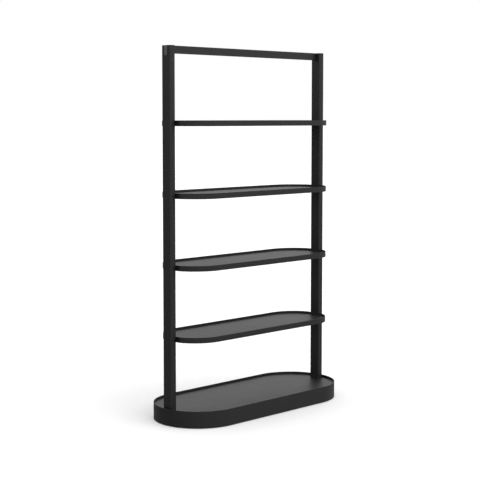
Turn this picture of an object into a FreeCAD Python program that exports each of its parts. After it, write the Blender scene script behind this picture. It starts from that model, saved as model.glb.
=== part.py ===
"""Free-standing steel display unit with racetrack-shaped shelves.

Two oval-cornered posts stand in a deep racetrack base and carry four tray shelves
and a slim crossbar that is flush with their tops.  The base hides rails, cross
channels and four screw levelling feet.

Frame: origin on the floor under the middle of the unit, +Z up, X along the shelves,
-Y to the front.  All sizes are in millimetres.
"""
import FreeCAD
import Part
import math
import os
import re
import Sketcher

doc = FreeCAD.newDocument("racetrack_display_unit")

# ---------------------------------------------------------------- driving sizes
SIZES = [
    ("overall_height", 1829, "floor to the top of the posts"),
    ("ground_gap", 3, "daylight under the skirt with the feet screwed in"),
    ("base_length", 1128, "racetrack base, end to end"),
    ("base_depth", 452, "racetrack base, front to back"),
    ("skirt_height", 81, "rolled band round the base"),
    ("skirt_wall", 2, "thickness of the band"),
    ("base_recess", 12, "rim of the band above the base deck"),
    ("base_sheet", 2, "base deck thickness"),
    ("shelf_span", 1026, "clear distance between the posts, and shelf length"),
    ("shelf_depth", 324, "shelf, front to back"),
    ("shelf_round_offset", 359, "centre of the shelf's end rounds from the middle"),
    ("shelf_height", 27, "rim band of a shelf"),
    ("shelf_wall", 2, "thickness of the rim band"),
    ("shelf_recess", 12, "rim above the shelf deck"),
    ("shelf_sheet", 1.5, "shelf deck thickness"),
    ("lowest_shelf", 404.5, "underside of the lowest shelf"),
    ("shelf_pitch", 347, "from one shelf to the next"),
    ("post_width", 36, "post tube along X"),
    ("post_depth", 62, "post tube along Y"),
    ("post_corner", 10, "outer corner radius of the tube"),
    ("post_wall", 2, "wall of the tube"),
    ("cap_flange", 2, "visible plate of the post cap"),
    ("cap_plug_depth", 8, "cap skirt inside the tube"),
    ("cap_clearance", 0.2, "cap skirt to tube, all round"),
    ("cap_wall", 2, "wall of the cap skirt"),
    ("slot_width", 22, "access slot in the outer wall of a post"),
    ("slot_length", 48.5, "from the top of the unit to the bottom of the slot"),
    ("plug_lip", 2, "lip of the slot plug behind the wall, beyond the slot"),
    ("plug_lip_sheet", 1.5, "thickness of that lip"),
    ("plug_clearance", 0.1, "slot plug to slot, all round"),
    ("crossbar_height", 38, "crossbar tube, along Z"),
    ("crossbar_depth", 10, "crossbar tube, along Y"),
    ("crossbar_wall", 1.5, "wall of the crossbar tube"),
    ("crossbar_corner", 1.8, "outer corner radius of the crossbar tube"),
    ("end_plug_length", 20, "threaded insert in each crossbar end"),
    ("crossbar_screw_low", 29, "lower crossbar screw below the top of the unit"),
    ("crossbar_screw_gap", 12, "between the two crossbar screws"),
    ("rail_depth", 40, "base rail tube, along Y"),
    ("rail_height", 25, "base rail tube, along Z"),
    ("rail_wall", 2, "wall of the base rail tube"),
    ("rail_inner_edge", 25, "inner side of a rail from the middle"),
    ("rail_length", 1096, "base rail, end to end"),
    ("channel_offset", 430, "cross channel from the middle, along X"),
    ("channel_width", 50, "cross channel, along X"),
    ("channel_length", 376, "cross channel, along Y"),
    ("channel_sheet", 2.5, "cross channel thickness"),
    ("channel_bottom", 16, "underside of a cross channel"),
    ("rib_spacing", 250, "between the ribs under the base deck"),
    ("rib_sheet", 3, "rib thickness"),
    ("rib_height", 20, "rib, along Z"),
    ("seat_length", 60, "post seat plate, along X"),
    ("seat_start", 495, "inner end of the seat plate from the middle"),
    ("seat_sheet", 8, "seat plate thickness"),
    ("foot_plate_height", 10, "tapped plate inside the foot of a post"),
    ("foot_plate_clearance", 0.1, "tapped plate to tube, all round"),
    ("post_bolt_offset", 16, "post bolt from the middle, along Y"),
    ("post_bolt_radius", 4, "M8 bolt shank"),
    ("post_bolt_length", 20, "M8 bolt under its head"),
    ("bolt_head_height", 5.3, "M8 hexagon head"),
    ("bolt_flats", 13, "M8 hexagon across flats"),
    ("washer_radius", 8, "M8 washer"),
    ("washer_sheet", 1.6, "M8 washer thickness"),
    ("thread_clearance", 0.05, "radial play of a screw in its thread"),
    ("bolt_play", 0.5, "radial play of a bolt in its clearance hole"),
    ("foot_offset", 160, "levelling foot from the middle, along Y"),
    ("foot_radius", 20, "levelling foot pad"),
    ("foot_pad_height", 6, "disc of the pad"),
    ("foot_pad_taper", 2, "the pad's disc is this much smaller on top"),
    ("foot_hub_radius", 8, "hub round the stem"),
    ("foot_hub_height", 10, "top of the hub"),
    ("stem_radius", 4, "M8 levelling stem"),
    ("stem_bottom", 4, "end of the stem in the pad"),
    ("stem_top", 42, "upper end of the stem"),
    ("collar_bottom", 10.3, "underside of the stem's hexagon collar"),
    ("collar_height", 5.4, "hexagon collar"),
    ("nut_flats", 14, "weld nut across flats"),
    ("nut_height", 6.5, "weld nut height"),
    ("stiffener_width", 30, "shelf stiffener, along Y"),
    ("stiffener_height", 10, "shelf stiffener, along Z"),
    ("stiffener_length", 960, "shelf stiffener, along X"),
    ("stiffener_sheet", 1.5, "shelf stiffener thickness"),
    ("stiffener_offset", 70, "shelf stiffener from the middle, along Y"),
    ("bracket_width", 80, "shelf end bracket, along Y"),
    ("bracket_leg", 28, "shelf end bracket, along X"),
    ("bracket_height", 12, "shelf end bracket, along Z"),
    ("bracket_sheet", 3, "shelf end bracket thickness"),
    ("shelf_screw_offset", 15, "shelf screw from the middle, along Y"),
    ("shelf_screw_height", 5.8, "shelf screw above the underside of the shelf"),
    ("screw_radius", 2.5, "M5 screw shank"),
    ("screw_length", 16, "M5 screw under its head"),
    ("screw_head_radius", 4.25, "M5 screw head"),
    ("screw_head_height", 2.8, "M5 screw head"),
    ("screw_play", 0.25, "radial play of an M5 screw in its clearance hole"),
    ("rivet_nut_radius", 3.5, "rivet nut sleeve"),
    ("rivet_nut_length", 12, "rivet nut sleeve"),
    ("rivet_bulge_radius", 5.2, "collapsed bulge behind the wall"),
    ("rivet_bulge_height", 2, "collapsed bulge behind the wall"),
]

SHELF_COUNT = 4

sheet = doc.addObject("Spreadsheet::Sheet", "Sizes")
for row, (alias, amount, meaning) in enumerate(SIZES, start=1):
    sheet.set(f"A{row}", meaning)
    sheet.set(f"B{row}", str(amount))
    sheet.setAlias(f"B{row}", alias)
doc.recompute()

# Heights and places that several pieces share, as formulas on the sheet.
SKIRT_TOP = "ground_gap + skirt_height"
BASE_DECK_TOP = f"{SKIRT_TOP} - base_recess"
BASE_DECK_BOTTOM = f"{BASE_DECK_TOP} - base_sheet"
RAIL_BOTTOM = f"{BASE_DECK_BOTTOM} - rail_height"
SEAT_BOTTOM = f"{BASE_DECK_BOTTOM} - seat_sheet"
BASE_ROUND_OFFSET = "base_length / 2 - base_depth / 2"
POST_CENTRE = "shelf_span / 2 + post_width / 2"
TUBE_TOP = "overall_height - cap_flange"
SHELF_DECK_BOTTOM = "shelf_height - shelf_recess - shelf_sheet"


# ---------------------------------------------------------------- formulas
def bound(formula):
    """The formula with every size name turned into a reference to the sheet."""
    return re.sub(r"[a-z_]+(?![a-z_(])", r"Sizes.\g<0>", formula)


def number(formula):
    """The formula's present value."""
    return float(sheet.evalExpression(bound(formula)))


def bind(item, path, formula):
    """Let a property of a document object follow a formula."""
    item.setExpression(path, bound(formula))


def shelf_bottom(level):
    """Formula for the underside of a shelf, counted from 1 at the lowest."""
    return f"lowest_shelf + {level - 1} * shelf_pitch"


# ---------------------------------------------------------------- sketches
def new_body(label):
    body = doc.addObject("PartDesign::Body", label)
    body.Label = label
    return body


def new_sketch(body, name, plane="XY_Plane", offset=None):
    """A sketch on one of the body's own origin planes, or at an offset from it."""
    sketch = body.newObject("Sketcher::SketchObject", f"{body.Name}_{name}")
    support = next(item for item in body.Origin.OriginFeatures if item.Role == plane)
    sketch.AttachmentSupport = [(support, "")]
    sketch.MapMode = "FlatFace"
    if offset:
        bind(sketch, "AttachmentOffset.Base.z", offset)
    return sketch


def drive(sketch, kind, places, formula):
    """Add a dimension to a sketch and let it follow a formula."""
    index = sketch.addConstraint(Sketcher.Constraint(kind, *places, number(formula)))
    name = f"size{index}"
    sketch.renameConstraint(index, name)
    bind(sketch, f"Constraints.{name}", formula)


def locate(sketch, geometry, point, across, along):
    """Hold a point of a sketch at two formulas; a formula of 0 puts it on the axis."""
    for kind, axis, formula in (("DistanceX", -2, across), ("DistanceY", -1, along)):
        if formula == "0":
            sketch.addConstraint(Sketcher.Constraint("PointOnObject", geometry, point, axis))
        else:
            drive(sketch, kind, (-1, 1, geometry, point), formula)


def add_circle(sketch, across, along, radius):
    centre = FreeCAD.Vector(number(across), number(along), 0)
    circle = Part.Circle(centre, FreeCAD.Vector(0, 0, 1), number(radius))
    geometry = sketch.addGeometry(circle)
    locate(sketch, geometry, 3, across, along)
    drive(sketch, "Radius", (geometry,), radius)


def add_polygon(sketch, corners):
    """A closed outline of straight lines through (across, along) formulas."""
    points = [FreeCAD.Vector(number(across), number(along), 0) for across, along in corners]
    lines = [
        sketch.addGeometry(Part.LineSegment(start, end))
        for start, end in zip(points, points[1:] + points[:1])
    ]
    for line, following in zip(lines, lines[1:] + lines[:1]):
        sketch.addConstraint(Sketcher.Constraint("Coincident", line, 2, following, 1))
    for line, (across, along) in zip(lines, corners):
        locate(sketch, line, 1, across, along)


def add_rectangle(sketch, low_x, high_x, low_y, high_y):
    add_polygon(sketch, [(low_x, low_y), (high_x, low_y), (high_x, high_y), (low_x, high_y)])


def add_hexagon(sketch, flats):
    """A hexagon about the sketch's origin, two corners on its X axis."""
    corner = f"{flats} / sqrt(3)"
    add_polygon(sketch, [
        (corner, "0"),
        (f"{corner} / 2", f"{flats} / 2"),
        (f"-{corner} / 2", f"{flats} / 2"),
        (f"-{corner}", "0"),
        (f"-{corner} / 2", f"-{flats} / 2"),
        (f"{corner} / 2", f"-{flats} / 2"),
    ])


def arc(centre_x, centre_y, radius, start, end):
    circle = Part.Circle(FreeCAD.Vector(centre_x, centre_y, 0), FreeCAD.Vector(0, 0, 1), radius)
    return Part.ArcOfCircle(circle, start, end)


def line(start_x, start_y, end_x, end_y):
    return Part.LineSegment(FreeCAD.Vector(start_x, start_y, 0), FreeCAD.Vector(end_x, end_y, 0))


QUARTER = math.pi / 2


def add_racetrack(sketch, round_offset, radius):
    """Two half circles on the X axis joined by straight front and back lines."""
    offset, size = number(round_offset), number(radius)
    right = sketch.addGeometry(arc(offset, 0, size, -QUARTER, QUARTER))
    back = sketch.addGeometry(line(offset, size, -offset, size))
    left = sketch.addGeometry(arc(-offset, 0, size, QUARTER, 3 * QUARTER))
    front = sketch.addGeometry(line(-offset, -size, offset, -size))
    ring = [right, back, left, front]
    for piece, following in zip(ring, ring[1:] + ring[:1]):
        sketch.addConstraint(Sketcher.Constraint("Tangent", piece, 2, following, 1))
    sketch.addConstraint(Sketcher.Constraint("Equal", right, left))
    sketch.addConstraint(Sketcher.Constraint("Symmetric", right, 3, left, 3, -1, 1))
    sketch.addConstraint(Sketcher.Constraint("PointOnObject", right, 3, -1))
    drive(sketch, "DistanceX", (-1, 1, right, 3), round_offset)
    drive(sketch, "Radius", (right,), radius)


def add_trimmed_racetrack(sketch, round_offset, radius, half_length):
    """A racetrack whose round ends are cut off square at half_length."""
    offset, size, reach = number(round_offset), number(radius), number(half_length)
    rise = (size ** 2 - (reach - offset) ** 2) ** 0.5
    turn = FreeCAD.Vector(reach - offset, rise, 0).getAngle(FreeCAD.Vector(1, 0, 0))
    half_turn = 2 * QUARTER
    outline = [
        line(reach, -rise, reach, rise),
        arc(offset, 0, size, turn, QUARTER),
        line(offset, size, -offset, size),
        arc(-offset, 0, size, QUARTER, half_turn - turn),
        line(-reach, rise, -reach, -rise),
        arc(-offset, 0, size, half_turn + turn, 3 * QUARTER),
        line(-offset, -size, offset, -size),
        arc(offset, 0, size, -QUARTER, -turn),
    ]
    end, arc_a, back, arc_b, far_end, arc_c, front, arc_d = [
        sketch.addGeometry(piece) for piece in outline
    ]
    for piece, following in ((end, arc_a), (arc_b, far_end), (far_end, arc_c), (arc_d, end)):
        sketch.addConstraint(Sketcher.Constraint("Coincident", piece, 2, following, 1))
    for piece, following in ((arc_a, back), (back, arc_b), (arc_c, front), (front, arc_d)):
        sketch.addConstraint(Sketcher.Constraint("Tangent", piece, 2, following, 1))
    for piece in (arc_b, arc_c, arc_d):
        sketch.addConstraint(Sketcher.Constraint("Equal", arc_a, piece))
    sketch.addConstraint(Sketcher.Constraint("Coincident", arc_a, 3, arc_d, 3))
    sketch.addConstraint(Sketcher.Constraint("Coincident", arc_b, 3, arc_c, 3))
    sketch.addConstraint(Sketcher.Constraint("Symmetric", arc_a, 3, arc_b, 3, -1, 1))
    sketch.addConstraint(Sketcher.Constraint("PointOnObject", arc_a, 3, -1))
    sketch.addConstraint(Sketcher.Constraint("Vertical", end))
    sketch.addConstraint(Sketcher.Constraint("Vertical", far_end))
    drive(sketch, "DistanceX", (-1, 1, arc_a, 3), round_offset)
    drive(sketch, "Radius", (arc_a,), radius)
    drive(sketch, "DistanceX", (-1, 1, end, 1), half_length)
    drive(sketch, "DistanceX", (-1, 1, far_end, 1), f"-({half_length})")


def add_rounded_rectangle(sketch, width, depth, corner):
    """A rectangle about the sketch's origin with four equal round corners."""
    half_x, half_y, size = number(width) / 2, number(depth) / 2, number(corner)
    core_x, core_y = half_x - size, half_y - size
    outline = [
        line(half_x, -core_y, half_x, core_y),
        arc(core_x, core_y, size, 0, QUARTER),
        line(core_x, half_y, -core_x, half_y),
        arc(-core_x, core_y, size, QUARTER, 2 * QUARTER),
        line(-half_x, core_y, -half_x, -core_y),
        arc(-core_x, -core_y, size, 2 * QUARTER, 3 * QUARTER),
        line(-core_x, -half_y, core_x, -half_y),
        arc(core_x, -core_y, size, 3 * QUARTER, 4 * QUARTER),
    ]
    ring = [sketch.addGeometry(piece) for piece in outline]
    for piece, following in zip(ring, ring[1:] + ring[:1]):
        sketch.addConstraint(Sketcher.Constraint("Tangent", piece, 2, following, 1))
    for piece in (ring[0], ring[4]):
        sketch.addConstraint(Sketcher.Constraint("Vertical", piece))
    for piece in (ring[2], ring[6]):
        sketch.addConstraint(Sketcher.Constraint("Horizontal", piece))
    for piece in ring[3::2]:
        sketch.addConstraint(Sketcher.Constraint("Equal", ring[1], piece))
    sketch.addConstraint(Sketcher.Constraint("Symmetric", ring[1], 3, ring[5], 3, -1, 1))
    drive(sketch, "Radius", (ring[1],), corner)
    drive(sketch, "DistanceX", (-1, 1, ring[0], 1), f"{width} / 2")
    drive(sketch, "DistanceY", (-1, 1, ring[2], 1), f"{depth} / 2")


def add_round_bottom_slot(sketch, half_width, round_height, top):
    """A slot along the sketch's Y axis: round below, square at the top."""
    size, low, high = number(half_width), number(round_height), number(top)
    outline = [
        line(size, low, size, high),
        line(size, high, -size, high),
        line(-size, high, -size, low),
        arc(0, low, size, 2 * QUARTER, 4 * QUARTER),
    ]
    right, upper, left, lower = [sketch.addGeometry(piece) for piece in outline]
    for piece, following in ((right, upper), (upper, left)):
        sketch.addConstraint(Sketcher.Constraint("Coincident", piece, 2, following, 1))
    for piece, following in ((left, lower), (lower, right)):
        sketch.addConstraint(Sketcher.Constraint("Tangent", piece, 2, following, 1))
    sketch.addConstraint(Sketcher.Constraint("Horizontal", upper))
    sketch.addConstraint(Sketcher.Constraint("Vertical", right))
    locate(sketch, lower, 3, "0", round_height)
    drive(sketch, "Radius", (lower,), half_width)
    drive(sketch, "DistanceY", (-1, 1, upper, 1), top)


# ---------------------------------------------------------------- features
def pad(body, sketch, length, both_ways=False):
    feature = body.newObject("PartDesign::Pad", f"{sketch.Name}_pad")
    feature.Profile = sketch
    bind(feature, "Length", length)
    feature.Midplane = both_ways
    doc.recompute()
    return feature


def pocket(body, sketch, both_ways=False, reverse=False):
    """Cut a sketch right through, and make sure that it took material away."""
    before = body.Tip.Shape.Volume
    feature = body.newObject("PartDesign::Pocket", f"{sketch.Name}_pocket")
    feature.Profile = sketch
    feature.Type = "ThroughAll"
    feature.Midplane = both_ways
    feature.Reversed = reverse
    doc.recompute()
    if feature.Shape.Volume >= before:
        raise RuntimeError(f"{feature.Name} cuts nothing")
    return feature


def revolve(body, sketch):
    feature = body.newObject("PartDesign::Revolution", f"{sketch.Name}_turn")
    feature.Profile = sketch
    feature.ReferenceAxis = (sketch, ["V_Axis"])
    feature.Angle = 360
    doc.recompute()
    return feature


def place(item, across="0", along="0", height="0"):
    """Set where a piece stands in the unit."""
    for axis, formula in (("x", across), ("y", along), ("z", height)):
        if formula != "0":
            bind(item, f"Placement.Base.{axis}", formula)
    return item


def mirrored(source, label, normal):
    """The mirror image of a piece across the unit's middle."""
    item = doc.addObject("Part::Mirroring", label)
    item.Source = source
    item.Normal = FreeCAD.Vector(*normal)
    item.Label = label
    return item


def left_to_right(source, label):
    return mirrored(source, label, (1, 0, 0))


def front_to_back(source, label):
    return mirrored(source, label, (0, 1, 0))


def group(label, members):
    """Identical pieces that share one node, as separate solids."""
    item = doc.addObject("Part::Compound", label)
    item.Links = members
    item.Label = label
    return item


def both_ends(source, label):
    """A piece at the left end and its twin at the right end."""
    return group(label, [source, left_to_right(source, f"{label}_twin")])


def four_corners(source, label):
    """A piece in one quarter of the unit and its three mirror images."""
    pair = both_ends(source, f"{label}_pair")
    return group(label, [pair, front_to_back(pair, f"{label}_back_pair")])


def box(name, length, width, height, across, along, base):
    """A block with its low corner at (across, along, base)."""
    item = doc.addObject("Part::Box", name)
    bind(item, "Length", length)
    bind(item, "Width", width)
    bind(item, "Height", height)
    return place(item, across, along, base)


def screw_blank(name, across, along, height):
    """An M5 screw along +X whose head ends and shank starts at (across, along, height)."""
    head = doc.addObject("Part::Cylinder", f"{name}_head")
    bind(head, "Radius", "screw_head_radius")
    bind(head, "Height", "screw_head_height")
    shank = doc.addObject("Part::Cylinder", f"{name}_shank")
    bind(shank, "Radius", "screw_radius")
    bind(shank, "Height", "screw_length")
    along_x = FreeCAD.Rotation(FreeCAD.Vector(0, 1, 0), 90)
    for part in (head, shank):
        part.Placement = FreeCAD.Placement(FreeCAD.Vector(0, 0, 0), along_x)
    place(head, f"{across} - screw_head_height", along, height)
    place(shank, across, along, height)
    item = doc.addObject("Part::Fuse", name)
    item.Base = head
    item.Tool = shank
    return item


nodes = []


def keep(item):
    nodes.append(item)
    return item


# ---------------------------------------------------------------- base
def make_base_skirt():
    """Rolled band with a racetrack plan, butt welded at the back."""
    body = new_body("base_skirt")
    outline = new_sketch(body, "outline", offset="ground_gap")
    add_racetrack(outline, BASE_ROUND_OFFSET, "base_depth / 2")
    add_racetrack(outline, BASE_ROUND_OFFSET, "base_depth / 2 - skirt_wall")
    pad(body, outline, "skirt_height")
    return body


def make_base_deck():
    """Sheet inside the skirt, with the holes for the post bolts."""
    body = new_body("base_deck")
    outline = new_sketch(body, "outline", offset=BASE_DECK_BOTTOM)
    add_racetrack(outline, BASE_ROUND_OFFSET, "base_depth / 2 - skirt_wall")
    for side in ("", "-"):
        for back in ("", "-"):
            add_circle(
                outline,
                f"{side}({POST_CENTRE})",
                f"{back}post_bolt_offset",
                "post_bolt_radius + bolt_play",
            )
    pad(body, outline, "base_sheet")
    return body


def make_base_rails():
    """Two rectangular tubes along the unit under the deck."""
    start = "-rail_length / 2"
    outer = box(
        "rail_outside", "rail_length", "rail_depth", "rail_height",
        start, "rail_inner_edge", RAIL_BOTTOM,
    )
    inner = box(
        "rail_inside", "rail_length", "rail_depth - 2 * rail_wall", "rail_height - 2 * rail_wall",
        start, "rail_inner_edge + rail_wall", f"{RAIL_BOTTOM} + rail_wall",
    )
    rail = doc.addObject("Part::Cut", "rail")
    rail.Base = outer
    rail.Tool = inner
    return group("base_rails", [rail, front_to_back(rail, "front_rail")])


def make_cross_channels():
    """Channels across the unit, open upwards, that carry the levelling feet."""
    body = new_body("cross_channel")
    section = new_sketch(body, "section", "XZ_Plane")
    low, high = "channel_bottom", RAIL_BOTTOM
    near, far = "channel_width / 2", "channel_width / 2 - channel_sheet"
    add_polygon(section, [
        (f"-{near}", low),
        (near, low),
        (near, high),
        (far, high),
        (far, f"{low} + channel_sheet"),
        (f"-({far})", f"{low} + channel_sheet"),
        (f"-({far})", high),
        (f"-{near}", high),
    ])
    pad(body, section, "channel_length", both_ways=True)
    holes = new_sketch(body, "foot_holes")
    for back in ("", "-"):
        add_circle(holes, "0", f"{back}foot_offset", "stem_radius + bolt_play")
    pocket(body, holes, both_ways=True)
    place(body, "-channel_offset")
    return both_ends(body, "base_cross_channels")


def make_base_ribs():
    """Flat ribs on edge between the rails and the skirt, under the deck."""
    start = "rail_inner_edge + rail_depth"
    reach = f"base_depth / 2 - skirt_wall - ({start})"
    bottom = f"{BASE_DECK_BOTTOM} - rib_height"
    middle = box("middle_rib", "rib_sheet", reach, "rib_height", "-rib_sheet / 2", start, bottom)
    outer = box(
        "outer_rib", "rib_sheet", reach, "rib_height",
        "-rib_spacing - rib_sheet / 2", start, bottom,
    )
    back_row = group("back_ribs", [middle, both_ends(outer, "outer_ribs")])
    return group("base_ribs", [back_row, front_to_back(back_row, "front_ribs")])


def make_post_seats():
    """Thick plates between the rails, under the deck, that the posts are bolted to."""
    body = new_body("post_seat")
    outline = new_sketch(body, "outline", offset=SEAT_BOTTOM)
    add_rectangle(
        outline, "-seat_start - seat_length", "-seat_start", "-rail_inner_edge", "rail_inner_edge",
    )
    for back in ("", "-"):
        add_circle(
            outline,
            f"-({POST_CENTRE})",
            f"{back}post_bolt_offset",
            "post_bolt_radius + bolt_play",
        )
    pad(body, outline, "seat_sheet")
    return both_ends(body, "post_seats")


def make_leveller_nuts():
    """Hexagon weld nuts on the floor of the cross channels."""
    body = new_body("leveller_nut")
    outline = new_sketch(body, "outline")
    add_hexagon(outline, "nut_flats")
    add_circle(outline, "0", "0", "stem_radius + thread_clearance")
    pad(body, outline, "nut_height")
    place(body, "-channel_offset", "-foot_offset", "channel_bottom + channel_sheet")
    return four_corners(body, "leveller_nuts")


# ---------------------------------------------------------------- levelling feet
def make_foot_pad(corner, across, along):
    """Moulded disc with a hub; the stem turns in its blind bore."""
    body = new_body(f"foot_pad_{corner}")
    profile = new_sketch(body, "profile", "XZ_Plane")
    bore = "stem_radius + thread_clearance"
    add_polygon(profile, [
        ("0", "0"),
        ("foot_radius", "0"),
        ("foot_radius - foot_pad_taper", "foot_pad_height"),
        ("foot_hub_radius", "foot_pad_height"),
        ("foot_hub_radius", "foot_hub_height"),
        (bore, "foot_hub_height"),
        (bore, "stem_bottom"),
        ("0", "stem_bottom"),
    ])
    revolve(body, profile)
    return place(body, across, along)


def make_foot_stem(corner, across, along):
    """M8 stem with a hexagon collar, turned with a spanner from below."""
    body = new_body(f"foot_stem_{corner}")
    shaft = new_sketch(body, "shaft", offset="stem_bottom")
    add_circle(shaft, "0", "0", "stem_radius")
    pad(body, shaft, "stem_top - stem_bottom")
    collar = new_sketch(body, "collar", offset="collar_bottom")
    add_hexagon(collar, "bolt_flats")
    pad(body, collar, "collar_height")
    return place(body, across, along)


FOOT_CORNERS = [
    ("front_left", "-channel_offset", "-foot_offset"),
    ("front_right", "channel_offset", "-foot_offset"),
    ("rear_left", "-channel_offset", "foot_offset"),
    ("rear_right", "channel_offset", "foot_offset"),
]


# ---------------------------------------------------------------- posts
def make_post():
    """Left post: tube with an access slot outside and screw holes inside."""
    body = new_body("left_post")
    section = new_sketch(body, "section", offset=BASE_DECK_TOP)
    add_rounded_rectangle(section, "post_width", "post_depth", "post_corner")
    add_rounded_rectangle(
        section,
        "(post_width - 2 * post_wall)",
        "(post_depth - 2 * post_wall)",
        "post_corner - post_wall",
    )
    pad(body, section, f"{TUBE_TOP} - ({BASE_DECK_TOP})")

    slot = new_sketch(body, "slot", "YZ_Plane")
    add_round_bottom_slot(
        slot,
        "slot_width / 2",
        "overall_height - slot_length + slot_width / 2",
        "overall_height",
    )
    pocket(body, slot)

    holes = new_sketch(body, "shelf_holes", "YZ_Plane")
    for level in range(1, SHELF_COUNT + 1):
        for back in ("", "-"):
            height = f"{shelf_bottom(level)} + shelf_screw_height"
            add_circle(holes, f"{back}shelf_screw_offset", height, "rivet_nut_radius")
    pocket(body, holes, reverse=True)

    screws = new_sketch(body, "crossbar_holes", "YZ_Plane")
    for step in (0, 1):
        height = f"overall_height - crossbar_screw_low + {step} * crossbar_screw_gap"
        add_circle(screws, "0", height, "screw_radius + screw_play")
    pocket(body, screws, reverse=True)
    return place(body, f"-({POST_CENTRE})")


def make_post_foot():
    """Tapped plate welded inside the foot of the left post."""
    body = new_body("left_post_foot_plate")
    outline = new_sketch(body, "outline", offset=BASE_DECK_TOP)
    inset = "2 * (post_wall + foot_plate_clearance)"
    add_rounded_rectangle(
        outline,
        f"(post_width - {inset})",
        f"(post_depth - {inset})",
        "post_corner - post_wall - foot_plate_clearance",
    )
    for back in ("", "-"):
        add_circle(
            outline, "0", f"{back}post_bolt_offset", "post_bolt_radius + thread_clearance",
        )
    pad(body, outline, "foot_plate_height")
    return place(body, f"-({POST_CENTRE})")


def make_post_bolts():
    """Hexagon bolts that come up through the seat and the deck."""
    body = new_body("post_bolt")
    head = new_sketch(body, "head", offset="-bolt_head_height")
    add_hexagon(head, "bolt_flats")
    pad(body, head, "bolt_head_height")
    shank = new_sketch(body, "shank")
    add_circle(shank, "0", "0", "post_bolt_radius")
    pad(body, shank, "post_bolt_length")
    place(body, f"-({POST_CENTRE})", "-post_bolt_offset", f"{SEAT_BOTTOM} - washer_sheet")
    return four_corners(body, "post_bolts")


def make_post_washers():
    body = new_body("post_washer")
    ring = new_sketch(body, "ring", offset=f"{SEAT_BOTTOM} - washer_sheet")
    add_circle(ring, "0", "0", "washer_radius")
    add_circle(ring, "0", "0", "post_bolt_radius + bolt_play")
    pad(body, ring, "washer_sheet")
    place(body, f"-({POST_CENTRE})", "-post_bolt_offset")
    return four_corners(body, "post_washers")


def make_post_cap():
    """Left cap: a plate flush with the tube and a short skirt inside it."""
    body = new_body("left_post_cap")
    flange = new_sketch(body, "flange", offset=TUBE_TOP)
    add_rounded_rectangle(flange, "post_width", "post_depth", "post_corner")
    pad(body, flange, "cap_flange")
    skirt = new_sketch(body, "skirt", offset=f"{TUBE_TOP} - cap_plug_depth")
    inset = "2 * (post_wall + cap_clearance)"
    add_rounded_rectangle(
        skirt,
        f"(post_width - {inset})",
        f"(post_depth - {inset})",
        "post_corner - post_wall - cap_clearance",
    )
    add_rounded_rectangle(
        skirt,
        f"(post_width - {inset} - 2 * cap_wall)",
        f"(post_depth - {inset} - 2 * cap_wall)",
        "post_corner - post_wall - cap_clearance - cap_wall",
    )
    pad(body, skirt, "cap_plug_depth")
    return place(body, f"-({POST_CENTRE})")


def make_slot_plug():
    """Left plug: fills the slot flush with the post, with a lip behind the wall."""
    body = new_body("left_slot_plug")
    round_height = "overall_height - slot_length + slot_width / 2"
    face = new_sketch(body, "face", "YZ_Plane", offset="-post_width / 2")
    add_round_bottom_slot(face, "slot_width / 2 - plug_clearance", round_height, TUBE_TOP)
    pad(body, face, "post_wall")
    lip = new_sketch(body, "lip", "YZ_Plane", offset="-post_width / 2 + post_wall")
    lip_top = f"{TUBE_TOP} - cap_plug_depth - 2 * cap_clearance"
    add_round_bottom_slot(lip, "slot_width / 2 + plug_lip", round_height, lip_top)
    pad(body, lip, "plug_lip_sheet")
    return place(body, f"-({POST_CENTRE})")


# ---------------------------------------------------------------- crossbar
CROSSBAR_MIDDLE = "overall_height - crossbar_height / 2"


def make_crossbar():
    """Slim rectangular tube between the posts, flush with their tops."""
    body = new_body("crossbar")
    section = new_sketch(body, "section", "YZ_Plane")
    add_rounded_rectangle(section, "crossbar_depth", "crossbar_height", "crossbar_corner")
    add_rounded_rectangle(
        section,
        "(crossbar_depth - 2 * crossbar_wall)",
        "(crossbar_height - 2 * crossbar_wall)",
        "crossbar_corner - crossbar_wall",
    )
    pad(body, section, "shelf_span", both_ways=True)
    return place(body, height=CROSSBAR_MIDDLE)


def make_end_plugs():
    """Threaded steel inserts welded in the crossbar's ends."""
    body = new_body("crossbar_end_plug")
    section = new_sketch(body, "section", "YZ_Plane", offset="-shelf_span / 2")
    add_rounded_rectangle(
        section,
        "(crossbar_depth - 2 * crossbar_wall)",
        "(crossbar_height - 2 * crossbar_wall)",
        "crossbar_corner - crossbar_wall",
    )
    for step in (0, 1):
        height = f"crossbar_height / 2 - crossbar_screw_low + {step} * crossbar_screw_gap"
        add_circle(section, "0", height, "screw_radius + thread_clearance")
    pad(body, section, "end_plug_length")
    place(body, height=CROSSBAR_MIDDLE)
    return both_ends(body, "crossbar_end_plugs")


def make_crossbar_screws():
    """Two screws at each end, from inside the post into the crossbar's insert."""
    inner_wall = "-shelf_span / 2 - post_wall"
    pair = [
        screw_blank(
            f"crossbar_screw_{step}",
            inner_wall,
            "0",
            f"overall_height - crossbar_screw_low + {step} * crossbar_screw_gap",
        )
        for step in (0, 1)
    ]
    return both_ends(group("left_crossbar_screws", pair), "crossbar_screws")


# ---------------------------------------------------------------- shelves
def make_shelf_rim(level):
    """Band round a shelf, with square ends that seat against the posts."""
    body = new_body(f"shelf_{level}_rim")
    outline = new_sketch(body, "outline")
    add_trimmed_racetrack(outline, "shelf_round_offset", "shelf_depth / 2", "shelf_span / 2")
    add_trimmed_racetrack(
        outline,
        "shelf_round_offset",
        "shelf_depth / 2 - shelf_wall",
        "shelf_span / 2 - shelf_wall",
    )
    pad(body, outline, "shelf_height")
    holes = new_sketch(body, "screw_holes", "YZ_Plane")
    for back in ("", "-"):
        add_circle(
            holes, f"{back}shelf_screw_offset", "shelf_screw_height", "screw_radius + screw_play",
        )
    pocket(body, holes, both_ways=True)
    return place(body, height=shelf_bottom(level))


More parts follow.
